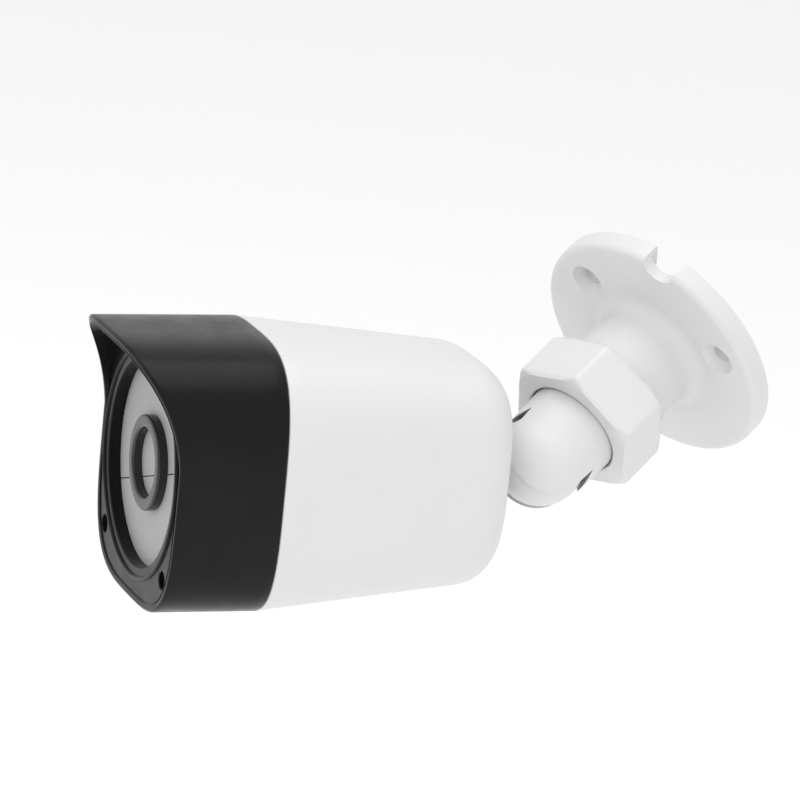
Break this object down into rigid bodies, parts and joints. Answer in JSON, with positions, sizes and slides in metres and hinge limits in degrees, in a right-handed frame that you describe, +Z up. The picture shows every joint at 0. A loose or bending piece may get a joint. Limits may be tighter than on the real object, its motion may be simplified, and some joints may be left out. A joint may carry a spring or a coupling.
{
  "type": "bullet security camera",
  "caption": "Bullet security camera with a black visored hood, a white tapered shell and a round wall bracket that pans, tilts and lets the camera turn.",
  "frame": {"origin": "centre of the wall plate's back face", "axes": "-Y is the way the camera looks at rest, +Z is up, and +X is to the right of someone who looks along +Y at the camera's front"},
  "size_m": [0.0741, 0.1608, 0.0811],
  "materials": {
    "white_plastic": "satin moulded ABS",
    "black_plastic": "satin moulded ABS",
    "grey_window": "smoked polycarbonate, satin",
    "ring_plastic": "satin",
    "rubber": "matt",
    "steel": "plated",
    "brass": "turned",
    "nylon": "moulded",
    "circuit_board": "solder mask",
    "chip": "moulded package",
    "lamp": "clear epoxy",
    "lens": "coated"
  },
  "bodies": {
    "bracket": {"base_plate": "white_plastic", "neck_washer": "steel"},
    "nut": {"lock_nut": "white_plastic"},
    "swivel": {"knuckle": "white_plastic", "tilt_screw": "steel", "tilt_insert": "brass", "tilt_washers": "nylon"},
    "arm": {"swivel_arm": "white_plastic", "arm_seal": "rubber", "arm_washer": "steel", "arm_screw": "steel"},
    "camera": {"body_shell": "white_plastic", "spin_bush": "brass", "cable_gland": "rubber", "hood_seal": "rubber", "front_hood": "black_plastic", "hood_screws": "steel", "window_upper": "grey_window", "window_lower": "grey_window", "window_gasket": "rubber", "lens_ring": "ring_plastic", "carrier_frame": "black_plastic", "carrier_screws": "steel", "lens_shroud": "rubber", "led_board": "circuit_board", "ir_leds": "lamp", "light_sensor": "lamp", "led_spacers": "brass", "led_screws": "steel", "lens_barrel": "black_plastic", "lens_glass": "lens", "lens_holder": "black_plastic", "ir_filter": "lens", "image_sensor": "chip", "sensor_board": "circuit_board", "sensor_chips": "chip", "board_spacers": "brass", "board_link": "nylon", "power_board": "circuit_board", "power_parts": "chip", "cable_socket": "nylon", "board_screws": "steel"}
  },
  "joints": [
    {"name": "nut_turn", "type": "hinge", "parent": "bracket", "child": "nut", "pos_m": [0.01079, -0.02137, -0.0149], "axis": [0.3828, -0.7578, -0.5284], "range_deg": [0, 90]},
    {"name": "pan", "type": "hinge", "parent": "bracket", "child": "swivel", "pos_m": [0.01799, -0.03562, -0.02484], "axis": [0.3828, -0.7578, -0.5284], "range_deg": [-180, 180]},
    {"name": "tilt", "type": "hinge", "parent": "swivel", "child": "arm", "pos_m": [0.01799, -0.03562, -0.02484], "axis": [0.8099, 0, 0.5866], "range_deg": [-19, 100]},
    {"name": "spin", "type": "hinge", "parent": "arm", "child": "camera", "pos_m": [0.01799, -0.03562, -0.02484], "axis": [0, -1, 0], "range_deg": [-180, 180]}
  ]
}
